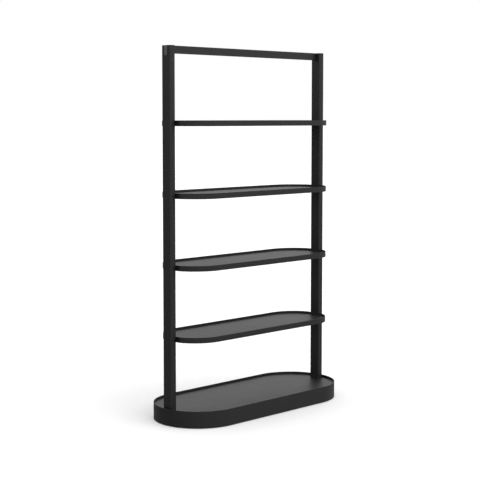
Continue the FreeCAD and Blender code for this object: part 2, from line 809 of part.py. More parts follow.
def make_shelf_deck(level):
    body = new_body(f"shelf_{level}_deck")
    outline = new_sketch(body, "outline", offset=SHELF_DECK_BOTTOM)
    add_trimmed_racetrack(
        outline,
        "shelf_round_offset",
        "shelf_depth / 2 - shelf_wall",
        "shelf_span / 2 - shelf_wall",
    )
    pad(body, outline, "shelf_sheet")
    return place(body, height=shelf_bottom(level))


def make_shelf_stiffeners(level):
    """Two shallow channels along the shelf, open side up against the deck."""
    body = new_body(f"shelf_{level}_stiffener")
    section = new_sketch(body, "section", "YZ_Plane")
    high = SHELF_DECK_BOTTOM
    low = f"{high} - stiffener_height"
    near = "stiffener_offset - stiffener_width / 2"
    far = "stiffener_offset + stiffener_width / 2"
    add_polygon(section, [
        (near, low),
        (far, low),
        (far, high),
        (f"{far} - stiffener_sheet", high),
        (f"{far} - stiffener_sheet", f"{low} + stiffener_sheet"),
        (f"{near} + stiffener_sheet", f"{low} + stiffener_sheet"),
        (f"{near} + stiffener_sheet", high),
        (near, high),
    ])
    pad(body, section, "stiffener_length", both_ways=True)
    place(body, height=shelf_bottom(level))
    front = front_to_back(body, f"shelf_{level}_front_stiffener")
    return group(f"shelf_{level}_stiffeners", [body, front])


def make_shelf_brackets(level):
    """Angles inside the rim ends, under the deck, that take the shelf screws."""
    body = new_body(f"shelf_{level}_bracket")
    section = new_sketch(body, "section", "XZ_Plane")
    wall = "-shelf_span / 2 + shelf_wall"
    high = SHELF_DECK_BOTTOM
    add_polygon(section, [
        (wall, f"{high} - bracket_height"),
        (f"{wall} + bracket_sheet", f"{high} - bracket_height"),
        (f"{wall} + bracket_sheet", f"{high} - bracket_sheet"),
        (f"{wall} + bracket_leg", f"{high} - bracket_sheet"),
        (f"{wall} + bracket_leg", high),
        (wall, high),
    ])
    pad(body, section, "bracket_width", both_ways=True)
    holes = new_sketch(body, "screw_holes", "YZ_Plane")
    for back in ("", "-"):
        add_circle(
            holes, f"{back}shelf_screw_offset", "shelf_screw_height", "screw_radius + screw_play",
        )
    pocket(body, holes, both_ways=True)
    place(body, height=shelf_bottom(level))
    return both_ends(body, f"shelf_{level}_brackets")


def make_shelf_screws(level):
    """Two screws at each end, through bracket and rim into the post."""
    name = f"shelf_{level}_screw"
    blank = screw_blank(
        name,
        "shelf_span / 2 - shelf_wall - bracket_sheet",
        "shelf_screw_offset",
        f"{shelf_bottom(level)} + shelf_screw_height",
    )
    return four_corners(blank, f"shelf_{level}_screws")


def make_rivet_nuts():
    """Threaded sleeves set in the inner walls of the posts, four for each shelf."""
    members = []
    for level in range(1, SHELF_COUNT + 1):
        body = new_body(f"rivet_nut_{level}")
        sleeve = new_sketch(body, "sleeve", "YZ_Plane")
        add_circle(sleeve, "0", "0", "rivet_nut_radius")
        add_circle(sleeve, "0", "0", "screw_radius + thread_clearance")
        pad(body, sleeve, "rivet_nut_length")
        bulge = new_sketch(body, "bulge", "YZ_Plane", offset="post_wall")
        add_circle(bulge, "0", "0", "rivet_bulge_radius")
        add_circle(bulge, "0", "0", "screw_radius + thread_clearance")
        pad(body, bulge, "rivet_bulge_height")
        place(
            body,
            "shelf_span / 2",
            "shelf_screw_offset",
            f"{shelf_bottom(level)} + shelf_screw_height",
        )
        members.append(four_corners(body, f"rivet_nuts_{level}"))
    return group("shelf_rivet_nuts", members)


# ---------------------------------------------------------------- the unit
keep(make_base_skirt())
keep(make_base_deck())
keep(make_base_rails())
keep(make_cross_channels())
keep(make_base_ribs())
keep(make_post_seats())
keep(make_leveller_nuts())
for corner_name, corner_x, corner_y in FOOT_CORNERS:
    keep(make_foot_pad(corner_name, corner_x, corner_y))
    keep(make_foot_stem(corner_name, corner_x, corner_y))

left_post = keep(make_post())
keep(left_to_right(left_post, "right_post"))
left_foot = keep(make_post_foot())
keep(left_to_right(left_foot, "right_post_foot_plate"))
keep(make_post_bolts())
keep(make_post_washers())
left_cap = keep(make_post_cap())
keep(left_to_right(left_cap, "right_post_cap"))
left_plug = keep(make_slot_plug())
keep(left_to_right(left_plug, "right_slot_plug"))

keep(make_crossbar())
keep(make_end_plugs())
keep(make_crossbar_screws())

for shelf_level in range(1, SHELF_COUNT + 1):
    keep(make_shelf_rim(shelf_level))
    keep(make_shelf_deck(shelf_level))
    keep(make_shelf_stiffeners(shelf_level))
    keep(make_shelf_brackets(shelf_level))
    keep(make_shelf_screws(shelf_level))
keep(make_rivet_nuts())

# ---------------------------------------------------------------- checks and files
doc.recompute()
for item in doc.Objects:
    if "Invalid" in item.State or "Error" in item.State:
        raise RuntimeError(f"{item.Name} did not compute: {item.State}")

os.makedirs("parts", exist_ok=True)
for item in nodes:
    if item.Shape.isNull() or not item.Shape.isValid():
        raise RuntimeError(f"{item.Label} has no valid shape")
    item.Shape.exportStep(f"parts/{item.Label}.step")
    print(f"{item.Label}: {len(item.Shape.Solids)} solids, {item.Shape.Volume / 1000:.2f} cm3")
print(f"{len(nodes)} nodes")
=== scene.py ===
import math

import bmesh
import bpy
from mathutils import Euler, Matrix, Vector


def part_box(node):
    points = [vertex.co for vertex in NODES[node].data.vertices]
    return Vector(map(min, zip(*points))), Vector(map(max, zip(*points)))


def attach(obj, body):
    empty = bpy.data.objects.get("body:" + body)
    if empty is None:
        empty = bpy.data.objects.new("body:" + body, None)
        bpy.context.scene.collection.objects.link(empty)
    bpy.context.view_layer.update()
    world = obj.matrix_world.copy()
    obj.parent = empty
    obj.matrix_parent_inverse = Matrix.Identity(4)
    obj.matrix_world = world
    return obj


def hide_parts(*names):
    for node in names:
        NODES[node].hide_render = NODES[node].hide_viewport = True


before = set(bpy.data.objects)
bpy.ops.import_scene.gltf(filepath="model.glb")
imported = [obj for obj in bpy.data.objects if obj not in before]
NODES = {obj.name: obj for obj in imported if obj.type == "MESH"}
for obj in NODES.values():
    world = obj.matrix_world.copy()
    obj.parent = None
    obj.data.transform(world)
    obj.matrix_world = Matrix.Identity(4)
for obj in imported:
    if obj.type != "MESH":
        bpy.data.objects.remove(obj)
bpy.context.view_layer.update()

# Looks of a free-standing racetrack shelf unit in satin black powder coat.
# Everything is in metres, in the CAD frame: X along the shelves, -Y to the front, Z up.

MM = 0.001
# each node's finish, read before its material changes
SLOTS = {name: node.material_slots[0].material.name for name, node in NODES.items()}
CORNERS = ("front_left", "front_right", "rear_left", "rear_right")
SHELF_LEVELS = (1, 2, 3, 4)


# ---------------------------------------------------------------- small node-tree helpers

def new_material(name):
    """A new material with its node tree, its shader and its object coordinates."""
    material = bpy.data.materials.new(name)
    material.use_nodes = True
    tree = material.node_tree
    shader = tree.nodes["Principled BSDF"]
    place = tree.nodes.new("ShaderNodeTexCoord").outputs["Object"]
    return material, tree, shader, place


def noise(tree, place, size, octaves=3.0):
    """Noise whose lumps are about as wide as size, in metres. Its output is 0 to 1."""
    node = tree.nodes.new("ShaderNodeTexNoise")
    node.inputs["Scale"].default_value = 1.0 / size
    node.inputs["Detail"].default_value = octaves
    tree.links.new(place, node.inputs["Vector"])
    return node.outputs["Fac"]


def cells(tree, place, size):
    """Rounded cells about as wide as size, in metres. Its output is the distance to a cell's middle."""
    node = tree.nodes.new("ShaderNodeTexVoronoi")
    node.feature = "SMOOTH_F1"
    node.inputs["Scale"].default_value = 1.0 / size
    tree.links.new(place, node.inputs["Vector"])
    return node.outputs["Distance"]


def remap(tree, value, low, high, to_low, to_high):
    """Stretches value from low...high to to_low...to_high."""
    node = tree.nodes.new("ShaderNodeMapRange")
    ends = {"From Min": low, "From Max": high, "To Min": to_low, "To Max": to_high}
    for socket, amount in ends.items():
        node.inputs[socket].default_value = amount
    tree.links.new(value, node.inputs["Value"])
    return node.outputs["Result"]


def math_node(tree, operation, first, second):
    """first and second, each an output or a number, joined by a Math node."""
    node = tree.nodes.new("ShaderNodeMath")
    node.operation = operation
    for socket, value in zip(node.inputs, (first, second)):
        if isinstance(value, (int, float)):
            socket.default_value = value
        else:
            tree.links.new(value, socket)
    return node.outputs["Value"]


def mix_colour(tree, amount, first, second):
    """first where amount is 0, second where it is 1. Each is an RGB triple or an output."""
    node = tree.nodes.new("ShaderNodeMix")
    node.data_type = "RGBA"
    tree.links.new(amount, node.inputs["Factor"])
    for socket, colour in ((node.inputs[6], first), (node.inputs[7], second)):
        if isinstance(colour, tuple):
            socket.default_value = (*colour, 1.0)
        else:
            tree.links.new(colour, socket)
    return node.outputs[2]


def brighter(colour, times):
    """An RGB triple, times as bright."""
    return tuple(times * channel for channel in colour)


def bump(tree, shader, height, depth):
    """Bumps the shader's surface by height, 0 to 1, times depth in metres."""
    node = tree.nodes.new("ShaderNodeBump")
    node.inputs["Distance"].default_value = depth
    node.inputs["Strength"].default_value = 1.0
    tree.links.new(height, node.inputs["Height"])
    tree.links.new(node.outputs["Normal"], shader.inputs["Normal"])


def edge_mask(tree, radius):
    """1 along sharp edges and corners, within about radius of them, and 0 on open faces."""
    rounded = tree.nodes.new("ShaderNodeBevel")
    rounded.samples = 4
    rounded.inputs["Radius"].default_value = radius
    plain = tree.nodes.new("ShaderNodeNewGeometry")
    dot = tree.nodes.new("ShaderNodeVectorMath")
    dot.operation = "DOT_PRODUCT"
    tree.links.new(rounded.outputs["Normal"], dot.inputs[0])
    tree.links.new(plain.outputs["Normal"], dot.inputs[1])
    return remap(tree, dot.outputs["Value"], 0.995, 0.80, 0.0, 1.0)


# ---------------------------------------------------------------- materials

BLACK = (0.0030, 0.0030, 0.0031)
WORN = (0.014, 0.014, 0.014)
DARK_ZINC = (0.50, 0.51, 0.52)
BRIGHT_ZINC = (0.66, 0.68, 0.72)

CLOUD_SIZE = 90 * MM
GRAIN_SIZE = 1.1 * MM
PEEL_SIZE = 1.6 * MM
PEEL_DEPTH = 0.03 * MM
RUBBED_WIDTH = 1.5 * MM


def powder_coat(name, smooth, rough):
    """Satin black powder coat: fine orange peel, faint clouding, and rubbed edges."""
    material, tree, shader, place = new_material(name)
    clouds = noise(tree, place, CLOUD_SIZE)
    grain = noise(tree, place, GRAIN_SIZE, octaves=2.0)
    wear = remap(tree, clouds, 0.35, 0.65, 0.3, 1.0)
    rubbed = math_node(tree, "MULTIPLY", edge_mask(tree, RUBBED_WIDTH), wear)
    base = mix_colour(tree, clouds, BLACK, brighter(BLACK, 1.3))
    tree.links.new(mix_colour(tree, rubbed, base, WORN), shader.inputs["Base Color"])
    broad = math_node(tree, "MULTIPLY", clouds, 0.7)
    fine = math_node(tree, "MULTIPLY", grain, 0.3)
    patchy = math_node(tree, "ADD", broad, fine)
    tree.links.new(remap(tree, patchy, 0.3, 0.7, smooth, rough), shader.inputs["Roughness"])
    half_grain = math_node(tree, "MULTIPLY", grain, 0.5)
    peel = math_node(tree, "ADD", cells(tree, place, PEEL_SIZE), half_grain)
    bump(tree, shader, peel, PEEL_DEPTH)
    return material


def moulded_plastic(name, colour, smooth, rough):
    """Moulded plastic with a fine spark-eroded grain."""
    material, tree, shader, place = new_material(name)
    clouds = noise(tree, place, 12 * MM)
    grain = noise(tree, place, 0.5 * MM, octaves=2.0)
    shades = mix_colour(tree, clouds, colour, brighter(colour, 1.2))
    tree.links.new(shades, shader.inputs["Base Color"])
    tree.links.new(remap(tree, grain, 0.3, 0.7, smooth, rough), shader.inputs["Roughness"])
    bump(tree, shader, grain, 0.02 * MM)
    return material


def zinc_steel(name):
    """Bright zinc plate: metal with blue-white mottling and fine scratches."""
    material, tree, shader, place = new_material(name)
    shader.inputs["Metallic"].default_value = 1.0
    mottle = noise(tree, place, 4 * MM)
    scratches = noise(tree, place, 0.3 * MM, octaves=4.0)
    tree.links.new(mix_colour(tree, mottle, DARK_ZINC, BRIGHT_ZINC), shader.inputs["Base Color"])
    tree.links.new(remap(tree, mottle, 0.3, 0.7, 0.25, 0.42), shader.inputs["Roughness"])
    bump(tree, shader, scratches, 0.01 * MM)
    return material


MATERIALS = {
    "black_powder_coat": powder_coat("black powder coat", 0.43, 0.46),
    "black_powder_coat_hidden": powder_coat("black powder coat, inside", 0.50, 0.60),
    "black_plastic": moulded_plastic("black plastic", (0.008, 0.008, 0.008), 0.40, 0.50),
    "grey_plastic": moulded_plastic("grey plastic", (0.047, 0.047, 0.048), 0.42, 0.55),
    "foot_plastic": moulded_plastic("foot plastic", (0.012, 0.012, 0.012), 0.50, 0.65),
    "zinc_steel": zinc_steel("zinc-plated steel"),
}


# ---------------------------------------------------------------- CAD nodes

WELD_GAP = 0.005 * MM
SHARP_ANGLE = math.radians(30)
FLAT_ANGLE = math.radians(0.5)
EDGE_WIDTHS = {
    "black_powder_coat": 0.5 * MM,
    "black_powder_coat_hidden": 0.4 * MM,
    "black_plastic": 0.4 * MM,
    "grey_plastic": 0.3 * MM,
    "zinc_steel": 0.15 * MM,
}


def smoothing_group():
    """Geometry nodes that join a CAD mesh's split seams and shade it smooth between its sharp edges."""
    group = bpy.data.node_groups.new("join seams and smooth", "GeometryNodeTree")
    group.interface.new_socket("Geometry", in_out="INPUT", socket_type="NodeSocketGeometry")
    group.interface.new_socket("Geometry", in_out="OUTPUT", socket_type="NodeSocketGeometry")
    start = group.nodes.new("NodeGroupInput")
    end = group.nodes.new("NodeGroupOutput")
    plain = group.nodes.new("GeometryNodeRemoveAttribute")
    plain.inputs["Name"].default_value = "custom_normal"
    weld = group.nodes.new("GeometryNodeMergeByDistance")
    weld.inputs["Distance"].default_value = WELD_GAP
    smooth = group.nodes.new("GeometryNodeSetShadeSmooth")
    sharp = group.nodes.new("GeometryNodeSetShadeSmooth")
    sharp.domain = "EDGE"
    sharp.inputs["Shade Smooth"].default_value = False
    angle = group.nodes.new("GeometryNodeInputMeshEdgeAngle")
    compare = group.nodes.new("ShaderNodeMath")
    compare.operation = "GREATER_THAN"
    compare.inputs[1].default_value = SHARP_ANGLE
    group.links.new(angle.outputs["Unsigned Angle"], compare.inputs[0])
    group.links.new(compare.outputs[0], sharp.inputs["Selection"])
    steps = (start, plain, weld, smooth, sharp, end)
    for before, after in zip(steps, steps[1:]):
        group.links.new(before.outputs[0], after.inputs[0])
    return group


def soften(node, smoothing, width):
    """Rounds a CAD node's sharp edges by width, with modifiers only."""
    seams = node.modifiers.new("join seams", "NODES")
    seams.node_group = smoothing
    flat = node.modifiers.new("whole flat faces", "DECIMATE")
    flat.decimate_type = "DISSOLVE"
    flat.angle_limit = FLAT_ANGLE
    bevel = node.modifiers.new("rounded edges", "BEVEL")
    bevel.width = width
    bevel.segments = 2
    bevel.limit_method = "ANGLE"
    bevel.angle_limit = SHARP_ANGLE
    node.modifiers.new("weighted normals", "WEIGHTED_NORMAL")


def finish_nodes():
    """Gives every CAD node its slot's material, and rounds its edges."""
    smoothing = smoothing_group()
    for name, node in NODES.items():
        slot = SLOTS[name]
        node.material_slots[0].material = MATERIALS[slot]
        if slot in EDGE_WIDTHS:
            soften(node, smoothing, EDGE_WIDTHS[slot])


# ---------------------------------------------------------------- turned bodies

def at(value, angle):
    """A ring's height or radius at an angle: a plain number, or a function of the angle."""
    return value(angle) if callable(value) else value


def add_turned(bm, rings, place, segments, bored=False):
    """Adds a closed body whose surface runs through rings, (height, radius) pairs about the Z axis.

    place moves the body. A bored body's surface runs from the last ring back to the first,
    and any other body is closed by a face at each of them.
    """
    angles = [math.tau * step / segments for step in range(segments)]
    loops = []
    for height, radius in rings:
        loops.append([
            bm.verts.new(place @ Vector((
                at(radius, angle) * math.cos(angle),
                at(radius, angle) * math.sin(angle),
                at(height, angle),
            )))
            for angle in angles
        ])
    following = loops[1:] + loops[:1] if bored else loops[1:]
    for low, high in zip(loops, following):
        for here in range(segments):
            after = (here + 1) % segments
            bm.faces.new((low[here], low[after], high[after], high[here]))
    if not bored:
        bm.faces.new(loops[0])
        bm.faces.new(loops[-1])


def finish_piece(bm, name, body, slot, replaced=None):
    """Turns bm into a piece that rides on body, wears slot's material and stands for the replaced node."""
    bmesh.ops.recalc_face_normals(bm, faces=bm.faces)
    mesh = bpy.data.meshes.new(name)
    bm.to_mesh(mesh)
    bm.free()
    mesh.materials.append(MATERIALS[slot])
    mesh.shade_smooth()
    mesh.set_sharp_from_angle(angle=SHARP_ANGLE)
    piece = bpy.data.objects.new(name, mesh)
    bpy.context.scene.collection.objects.link(piece)
    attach(piece, body)
    if replaced:
        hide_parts(replaced)


def solid_boxes(node):
    """The lowest and highest corner of each separate solid in a CAD node, from left to right."""
    bm = bmesh.new()
    bm.from_mesh(NODES[node].data)
    bmesh.ops.remove_doubles(bm, verts=bm.verts, dist=WELD_GAP)
    waiting = set(bm.verts)
    boxes = []
    while waiting:
        reached = [waiting.pop()]
        points = []
        while reached:
            vertex = reached.pop()
            points.append(vertex.co.copy())
            near = {edge.other_vert(vertex) for edge in vertex.link_edges} & waiting
            waiting -= near
            reached.extend(near)
        low = Vector([min(point[axis] for point in points) for axis in range(3)])
        high = Vector([max(point[axis] for point in points) for axis in range(3)])
        boxes.append((low, high))
    bm.free()
    return sorted(boxes, key=lambda box: [round(value, 5) for value in box[0]])


def along_x(start, side):
    """The place of a turned body whose Z axis points along X: side is 1 for +X and -1 for -X."""
    return Matrix.Translation(start) @ Matrix.Rotation(side * math.pi / 2, 4, "Y")


# ---------------------------------------------------------------- threads and hexagons

M5_RADIUS = 2.5 * MM
M5_PITCH = 0.8 * MM
M8_RADIUS = 4.0 * MM
M8_PITCH = 1.25 * MM
THREAD_PLAY = 0.05 * MM
RINGS_PER_TURN = 6
STEM_SEGMENTS = 48
SCREW_SEGMENTS = 24


def hexagon(flats):
    """The radius of a hexagon at an angle, from its size across flats. A corner is at angle 0."""
    return lambda angle: flats / 2 / math.cos(angle % (math.pi / 3) - math.pi / 6)


def turned_hexagon(flats, face, inward):
    """Rings of a hexagon's corners, turned off at 30 degrees towards its face at height face.

    inward is 1 where the body is above that face, and -1 where it is below.
    """
    outline = hexagon(flats)
    face_radius = 0.475 * flats
    deepest = (outline(0) - face_radius) / math.sqrt(3)
    rings = []
    for part in (0.0, 0.25, 0.5, 0.75, 1.0):
        limit = face_radius + math.sqrt(3) * part * deepest
        rings.append((face + inward * part * deepest, capped(outline, limit)))
    return rings


def capped(outline, limit):
    """The radius of outline at an angle, where it is under limit, and limit elsewhere."""
    return lambda angle: min(outline(angle), limit)


def thread(radius, pitch, low, high):
    """Rings of a screw thread from height low to high, that runs out at both ends."""
    depth = 0.6 * pitch
    flat_crest = 1.3
    count = round((high - low) / pitch * RINGS_PER_TURN)

    def ring(height):
        room = min(height - low, high - height, depth)

        def reach(angle):
            phase = (height / pitch - angle / math.tau) % 1.0
            ridge = min(1.0, flat_crest * (1.0 - abs(2.0 * phase - 1.0)))
            return radius - depth + min(room, depth * ridge)

        return height, reach

    return [ring(low + (high - low) * step / count) for step in range(count + 1)]


# ---------------------------------------------------------------- screws, bolts and nuts

SCREW_HEAD = 2.8 * MM
BOLT_HEAD = 5.3 * MM
WASHER_FACE = 0.3 * MM
RIVET_SLEEVE = 3.5 * MM
POST_WALL = 2.0 * MM


def button_screw(head_radius, length):
    """Rings of an M5 button-head screw: its shank up from height 0, its head below, with a hexagon socket."""
    socket = hexagon(0.7 * head_radius)
    return [
        (-0.35 * SCREW_HEAD, socket),
        (-0.95 * SCREW_HEAD, socket),
        (-SCREW_HEAD, lambda angle: 1.12 * socket(angle)),
        (-SCREW_HEAD, 0.62 * head_radius),
        (-0.88 * SCREW_HEAD, 0.80 * head_radius),
        (-0.62 * SCREW_HEAD, 0.94 * head_radius),
        (-0.30 * SCREW_HEAD, head_radius),
        (-0.04 * SCREW_HEAD, head_radius),
        (0.0, 0.96 * head_radius),
        (0.0, 0.92 * M5_RADIUS),
        *thread(M5_RADIUS, M5_PITCH, 0.05 * length, length),
    ]


def make_screws(node, away):
    """Detailed screws for a node of M5 screws along X.

    away is 1 where the shanks point away from the middle of the unit, and -1 where they point to it.
    """
    bm = bmesh.new()
    for low, high in solid_boxes(node):
        middle = (low + high) / 2
        head_radius = (high.y - low.y) / 2
        length = (high.x - low.x) - SCREW_HEAD
        side = away * math.copysign(1, middle.x)
        start = (low.x if side > 0 else high.x) + side * SCREW_HEAD
        place = along_x((start, middle.y, middle.z), side)
        add_turned(bm, button_screw(head_radius, length), place, SCREW_SEGMENTS)
    finish_piece(bm, f"{node}_detailed", "frame", SLOTS[node], node)


def fluted(radius):
    """The radius of a finely fluted sleeve at an angle."""
    return lambda angle: radius - 0.12 * MM * (1 - math.cos(12 * angle))


def rivet_nut(length, bulge):
    """Rings of a rivet nut: bore, flange, sleeve through the wall, collapsed bulge, and fluted end."""
    bore = M5_RADIUS + THREAD_PLAY
    return [
        (0.3 * length, bore),
        (0.02 * length, bore),
        (0.0, bore + 0.3 * MM),
        (0.0, RIVET_SLEEVE - 0.2 * MM),
        (0.02 * length, RIVET_SLEEVE),
        (POST_WALL, RIVET_SLEEVE),
        (POST_WALL + 0.1 * MM, bulge - 0.4 * MM),
        (POST_WALL + 0.6 * MM, bulge),
        (POST_WALL + 1.4 * MM, bulge),
        (POST_WALL + 1.9 * MM, bulge - 0.4 * MM),
        (POST_WALL + 2.0 * MM, RIVET_SLEEVE),
        (0.38 * length, fluted(RIVET_SLEEVE)),
        (0.95 * length, fluted(RIVET_SLEEVE)),
        (length, RIVET_SLEEVE - 0.4 * MM),
    ]


def make_rivet_nuts(node):
    """Fluted sleeves with a rounded bulge behind the wall of the post."""
    bm = bmesh.new()
    for low, high in solid_boxes(node):
        middle = (low + high) / 2
        side = math.copysign(1, middle.x)
        start = low.x if side > 0 else high.x
        rings = rivet_nut(high.x - low.x, (high.y - low.y) / 2)
        add_turned(bm, rings, along_x((start, middle.y, middle.z), side), SCREW_SEGMENTS)
    finish_piece(bm, f"{node}_detailed", "frame", SLOTS[node], node)


def make_post_bolts(node):
    """Hexagon bolts with turned corners, washer faces and threads."""
    bm = bmesh.new()
    for low, high in solid_boxes(node):
        middle = (low + high) / 2
        flats = high.y - low.y
        face_radius = 0.46 * flats
        rings = [
            *turned_hexagon(flats, 0.0, 1),
            (BOLT_HEAD - WASHER_FACE, hexagon(flats)),
            (BOLT_HEAD - WASHER_FACE, face_radius),
            (BOLT_HEAD, face_radius),
            (BOLT_HEAD, 0.95 * M8_RADIUS),
            *thread(M8_RADIUS, M8_PITCH, BOLT_HEAD + 1.0 * MM, high.z - low.z),
        ]
        add_turned(bm, rings, Matrix.Translation((middle.x, middle.y, low.z)), STEM_SEGMENTS)
    finish_piece(bm, f"{node}_detailed", "frame", SLOTS[node], node)


def make_leveller_nuts(node):
    """Hexagon weld nuts with turned corners and a countersunk bore."""
    bore = M8_RADIUS + THREAD_PLAY
    countersink = 0.5 * MM
    bm = bmesh.new()
    for low, high in solid_boxes(node):
        middle = (low + high) / 2
        flats = high.y - low.y
        height = high.z - low.z
        rings = [
            (0.0, hexagon(flats)),
            *reversed(turned_hexagon(flats, height, -1)),
            (height, bore + countersink),
            (height - countersink, bore),
            (0.0, bore),
        ]
        place = Matrix.Translation((middle.x, middle.y, low.z))
        add_turned(bm, rings, place, STEM_SEGMENTS, bored=True)
    finish_piece(bm, f"{node}_detailed", "frame", SLOTS[node], node)


# ---------------------------------------------------------------- levelling feet

COLLAR_BOTTOM = 10.3 * MM
COLLAR_HEIGHT = 5.4 * MM
PAD_SEGMENTS = 120
PAD_RIBS = 10
PAD_TOP = 6.0 * MM
PAD_FLOOR = 3.6 * MM
SOLE_GROOVE = 0.6 * MM
HUB_RADIUS = 8.0 * MM
BORE_FLOOR = 4.0 * MM


def make_stem(corner):
    """A levelling stem: M8 thread and a hexagon collar with turned corners."""
    node = f"foot_stem_{corner}"
    low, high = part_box(node)
    middle = (low + high) / 2
    flats = high.y - low.y
    collar_low = COLLAR_BOTTOM - low.z
    collar_high = collar_low + COLLAR_HEIGHT
    rings = [
        (0.0, 0.7 * M8_RADIUS),
        (0.8 * MM, 0.95 * M8_RADIUS),
        (collar_low, 0.95 * M8_RADIUS),
        *turned_hexagon(flats, collar_low, 1),
        *reversed(turned_hexagon(flats, collar_high, -1)),
        (collar_high, 0.92 * M8_RADIUS),
        *thread(M8_RADIUS, M8_PITCH, collar_high + 0.5 * MM, high.z - low.z),
    ]
    bm = bmesh.new()
    add_turned(bm, rings, Matrix.Translation((middle.x, middle.y, low.z)), STEM_SEGMENTS)
    finish_piece(bm, f"levelling_stem_{corner}", f"{corner}_foot_stem", SLOTS[node], node)


def ribbed_floor(angle):
    """The height of the pad's floor at an angle: it rises to the pad's top at each rib."""
    from_rib = abs((angle / math.tau * PAD_RIBS + 0.5) % 1.0 - 0.5)
    rise = min(1.0, max(0.0, (0.14 - from_rib) / 0.05))
    return PAD_FLOOR + (PAD_TOP - PAD_FLOOR) * rise


def make_pad(corner):
    """A moulded pad: dished, with ribs from its hub to its rim, and a grooved sole."""
    node = f"foot_pad_{corner}"
    low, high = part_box(node)
    middle = (low + high) / 2
    outer = (high.x - low.x) / 2
    top = high.z
    bore = M8_RADIUS + THREAD_PLAY
    inner_land = (5.6 * MM, 9.0 * MM)
    outer_land = 12.6 * MM
    sole = [
        (SOLE_GROOVE, inner_land[0] - SOLE_GROOVE),
        (0.0, inner_land[0]),
        (0.0, inner_land[1]),
        (SOLE_GROOVE, inner_land[1] + SOLE_GROOVE),
        (SOLE_GROOVE, outer_land - SOLE_GROOVE),
        (0.0, outer_land),
        (0.0, outer - 0.8 * MM),
    ]
    tapered_rim = [
        (0.3 * MM, outer - 0.2 * MM),
        (0.9 * MM, outer),
        (PAD_TOP - 1.0 * MM, outer - 1.7 * MM),
        (PAD_TOP - 0.3 * MM, outer - 2.0 * MM),
        (PAD_TOP, outer - 2.6 * MM),
        (PAD_TOP, outer - 3.6 * MM),
    ]
    dish = [(ribbed_floor, outer - 4.4 * MM), (ribbed_floor, HUB_RADIUS + 0.9 * MM)]
    hub = [
        (PAD_TOP, HUB_RADIUS + 0.1 * MM),
        (top - 0.6 * MM, HUB_RADIUS - 0.1 * MM),
        (top - 0.2 * MM, HUB_RADIUS - 0.3 * MM),
        (top, HUB_RADIUS - 0.7 * MM),
        (top, bore + 0.4 * MM),
        (top - 0.4 * MM, bore),
        (BORE_FLOOR, bore),
    ]
    bm = bmesh.new()
    place = Matrix.Translation((middle.x, middle.y, 0.0))
    add_turned(bm, sole + tapered_rim + dish + hub, place, PAD_SEGMENTS)
    finish_piece(bm, f"levelling_pad_{corner}", f"{corner}_foot_pad", SLOTS[node], node)


# ---------------------------------------------------------------- welds

RIPPLE = 2.2 * MM
RIPPLE_DEPTH = 0.12
BLUNT_END = 0.15
# how far a bead's middle keeps from the sheet that it holds, so that it doesn't come through
WELD_DROP = 0.8 * MM
BEAD_SEGMENTS = 12
SEAM_FLAT = 0.15
SEAM_END = 0.5 * MM


def add_bead(bm, start, end, radius, flat=1.0):
    """Adds a rippled weld bead from start to end. flat squeezes it along Y."""
    run = Vector(end) - Vector(start)
    count = max(6, round(run.length / RIPPLE * 4))
    rings = []
    for step in range(count + 1):
        along = run.length * step / count
        from_end = min(along, run.length - along)
        ripple = 1.0 - RIPPLE_DEPTH + RIPPLE_DEPTH * math.cos(math.tau * along / RIPPLE)
        taper = math.sqrt(min(1.0, BLUNT_END + from_end / radius))
        rings.append((along, radius * ripple * taper))
    turn = run.to_track_quat("Z", "Y").to_matrix().to_4x4()
    place = Matrix.Translation(start) @ Matrix.Diagonal((1.0, flat, 1.0, 1.0)) @ turn
    add_turned(bm, rings, place, BEAD_SEGMENTS)


def add_stitches(bm, start, end, count, length, radius):
    """Adds count beads of the same length, evenly spaced from start to end."""
    start, end = Vector(start), Vector(end)
    half = (end - start).normalized() * length / 2
    for number in range(count):
        middle = start.lerp(end, (number + 0.5) / count)
        add_bead(bm, middle - half, middle + half, radius)


def stitch_along_x(bm, box, height, **stitches):
    """Adds stitches along X at a height, on the front and the back of a box."""
    low, high = box
    for side in (low.y, high.y):
        add_stitches(bm, (low.x, side, height), (high.x, side, height), **stitches)


def stitch_along_y(bm, box, height, **stitches):
    """Adds stitches along Y at a height, on the left and the right of a box."""
    low, high = box
    for side in (low.x, high.x):
        add_stitches(bm, (side, low.y, height), (side, high.y, height), **stitches)


def add_back_seam(bm, band, radius):
    """Adds the flattened seam of a rolled band, upright at the middle of its back."""
    low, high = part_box(band)
    foot = (0.0, high.y, low.z + SEAM_END)
    head = (0.0, high.y, high.z - SEAM_END)
    add_bead(bm, foot, head, radius, SEAM_FLAT)


def make_shelf_welds(level):
    """Stitches that hold the stiffeners and the end brackets under a shelf, and the rim's seam."""
    bm = bmesh.new()
    for box in solid_boxes(f"shelf_{level}_stiffeners"):
        stitch_along_x(bm, box, box[1].z - WELD_DROP, count=6, length=28 * MM, radius=1.7 * MM)
    for low, high in solid_boxes(f"shelf_{level}_brackets"):
        wall = low.x if low.x < 0 else high.x
        for side in (low.y, high.y):
            foot = (wall, side, low.z + 1 * MM)
            add_stitches(bm, foot, (wall, side, high.z), count=1, length=9 * MM, radius=1.4 * MM)
    add_back_seam(bm, f"shelf_{level}_rim", 1.6 * MM)
    finish_piece(bm, f"shelf_{level}_welds", "frame", "black_powder_coat")


